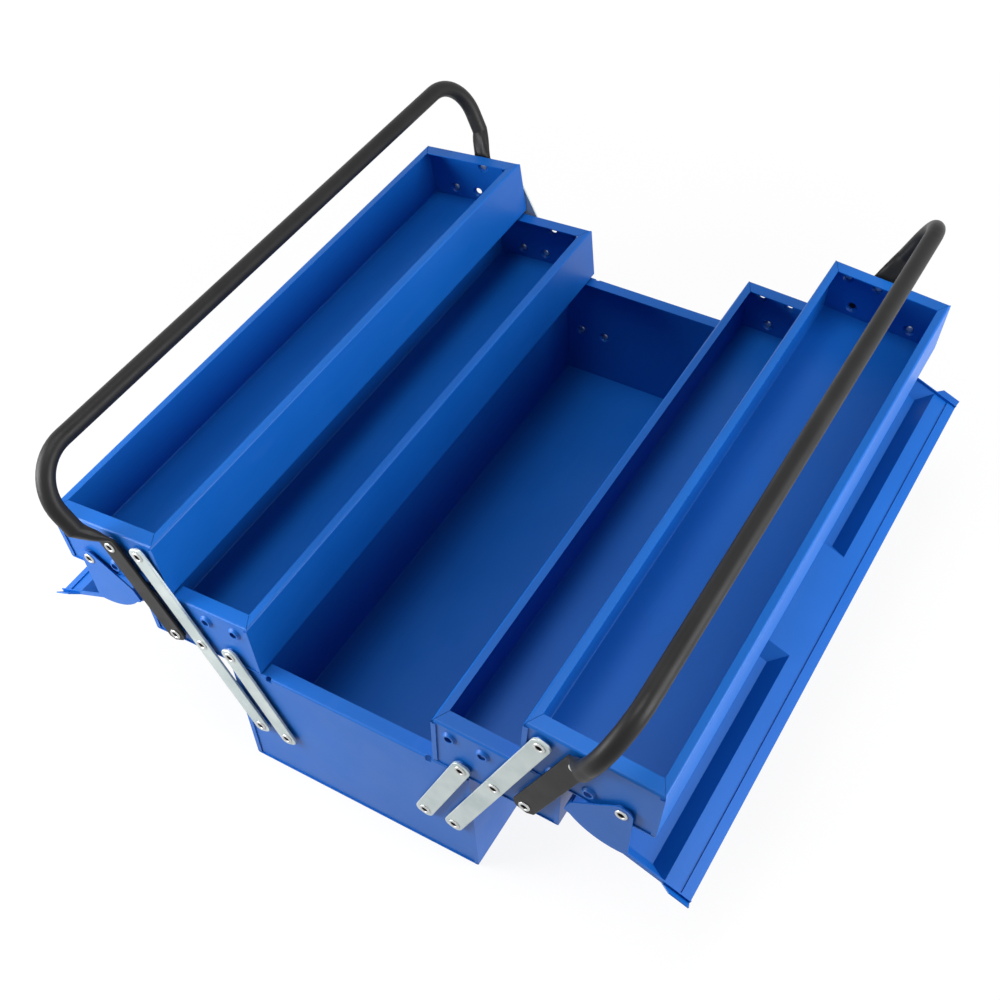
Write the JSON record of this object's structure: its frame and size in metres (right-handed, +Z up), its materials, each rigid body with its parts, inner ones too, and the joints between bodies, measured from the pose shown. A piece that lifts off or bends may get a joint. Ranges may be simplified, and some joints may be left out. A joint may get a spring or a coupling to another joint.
{
  "type": "cantilever toolbox",
  "caption": "Cantilever toolbox of folded blue sheet steel, standing open: stacked trays swing out on flat links over a deep bottom box, with bent-tube handles and flip-over lids.",
  "frame": {"origin": "middle of the bottom box's underside, on the ground", "axes": "+X along the box toward the rear end, +Y toward the left trays, +Z up"},
  "size_m": [0.6044, 0.5824, 0.3091],
  "materials": {
    "blue_sheet": "satin paint",
    "zinc_bar": "pale zinc plate",
    "rivet_steel": "bright zinc",
    "black_tube": "satin black"
  },
  "bodies": {
    "bottom_box": {"bottom_box_shell": "blue_sheet", "bottom_box_end_front": "blue_sheet", "bottom_box_end_rear": "blue_sheet", "base_rivets": "rivet_steel"},
    "left_long_links": {"left_long_link_front": "zinc_bar", "left_long_link_rear": "zinc_bar"},
    "left_short_links": {"left_short_link_front": "zinc_bar", "left_short_link_rear": "zinc_bar"},
    "left_middle_tray": {"left_middle_tray_shell": "blue_sheet", "left_middle_tray_end_front": "blue_sheet", "left_middle_tray_end_rear": "blue_sheet", "left_middle_tray_rivets": "rivet_steel"},
    "left_upper_tray": {"left_upper_tray_shell": "blue_sheet", "left_upper_tray_end_front": "blue_sheet", "left_upper_tray_end_rear": "blue_sheet", "left_upper_tray_rivets": "rivet_steel"},
    "left_lid": {"left_lid": "blue_sheet"},
    "left_handle": {"left_handle": "black_tube"},
    "right_long_links": {"right_long_link_front": "zinc_bar", "right_long_link_rear": "zinc_bar"},
    "right_short_links": {"right_short_link_front": "zinc_bar", "right_short_link_rear": "zinc_bar"},
    "right_middle_tray": {"right_middle_tray_shell": "blue_sheet", "right_middle_tray_end_front": "blue_sheet", "right_middle_tray_end_rear": "blue_sheet", "right_middle_tray_rivets": "rivet_steel"},
    "right_upper_tray": {"right_upper_tray_shell": "blue_sheet", "right_upper_tray_end_front": "blue_sheet", "right_upper_tray_end_rear": "blue_sheet", "right_upper_tray_rivets": "rivet_steel"},
    "right_lid": {"right_lid": "blue_sheet"},
    "right_handle": {"right_handle": "black_tube"}
  },
  "joints": [
    {"name": "left_swing", "type": "hinge", "parent": "bottom_box", "child": "left_long_links", "pos_m": [0, 0.0932, 0.0565], "axis": [1, 0, 0], "range_deg": [0, 50.06]},
    {"name": "left_short_swing", "type": "hinge", "parent": "bottom_box", "child": "left_short_links", "pos_m": [0, 0.06662, 0.0565], "axis": [1, 0, 0], "range_deg": [0, 49.68]},
    {"name": "left_middle_level", "type": "hinge", "parent": "left_long_links", "child": "left_middle_tray", "pos_m": [0, 0.13356, 0.1407], "axis": [1, 0, 0], "range_deg": [-46.86, 0]},
    {"name": "left_upper_level", "type": "hinge", "parent": "left_long_links", "child": "left_upper_tray", "pos_m": [0, 0.17392, 0.2249], "axis": [1, 0, 0], "range_deg": [-44.18, 0]},
    {"name": "left_handle_swing", "type": "hinge", "parent": "left_middle_tray", "child": "left_handle", "pos_m": [0, 0.15972, 0.13924], "axis": [1, 0, 0], "range_deg": [0, 47.16]},
    {"name": "left_lid_turn", "type": "hinge", "parent": "left_upper_tray", "child": "left_lid", "pos_m": [0, 0.2353, 0.18792], "axis": [1, 0, 0], "range_deg": [0, 199]},
    {"name": "right_swing", "type": "hinge", "parent": "bottom_box", "child": "right_long_links", "pos_m": [0, -0.0932, 0.0565], "axis": [-1, 0, 0], "range_deg": [0, 50.06]},
    {"name": "right_short_swing", "type": "hinge", "parent": "bottom_box", "child": "right_short_links", "pos_m": [0, -0.06662, 0.0565], "axis": [-1, 0, 0], "range_deg": [0, 49.68]},
    {"name": "right_middle_level", "type": "hinge", "parent": "right_long_links", "child": "right_middle_tray", "pos_m": [0, -0.13356, 0.1407], "axis": [-1, 0, 0], "range_deg": [-46.86, 0]},
    {"name": "right_upper_level", "type": "hinge", "parent": "right_long_links", "child": "right_upper_tray", "pos_m": [0, -0.17392, 0.2249], "axis": [-1, 0, 0], "range_deg": [-44.18, 0]},
    {"name": "right_handle_swing", "type": "hinge", "parent": "right_middle_tray", "child": "right_handle", "pos_m": [0, -0.15972, 0.13924], "axis": [-1, 0, 0], "range_deg": [0, 47.16]},
    {"name": "right_lid_turn", "type": "hinge", "parent": "right_upper_tray", "child": "right_lid", "pos_m": [0, -0.2353, 0.18792], "axis": [-1, 0, 0], "range_deg": [0, 199]}
  ],
  "couplings": [
    {"joint": "left_short_swing", "follows": "left_swing", "ratio": 0.99236},
    {"joint": "left_middle_level", "follows": "left_swing", "ratio": -0.93608},
    {"joint": "left_upper_level", "follows": "left_swing", "ratio": -0.88258},
    {"joint": "left_handle_swing", "follows": "left_swing", "ratio": 0.94209},
    {"joint": "left_lid_turn", "follows": "left_swing", "ratio": 3.9751},
    {"joint": "right_short_swing", "follows": "right_swing", "ratio": 0.99236},
    {"joint": "right_middle_level", "follows": "right_swing", "ratio": -0.93608},
    {"joint": "right_upper_level", "follows": "right_swing", "ratio": -0.88258},
    {"joint": "right_handle_swing", "follows": "right_swing", "ratio": 0.94209},
    {"joint": "right_lid_turn", "follows": "right_swing", "ratio": 3.9751}
  ]
}
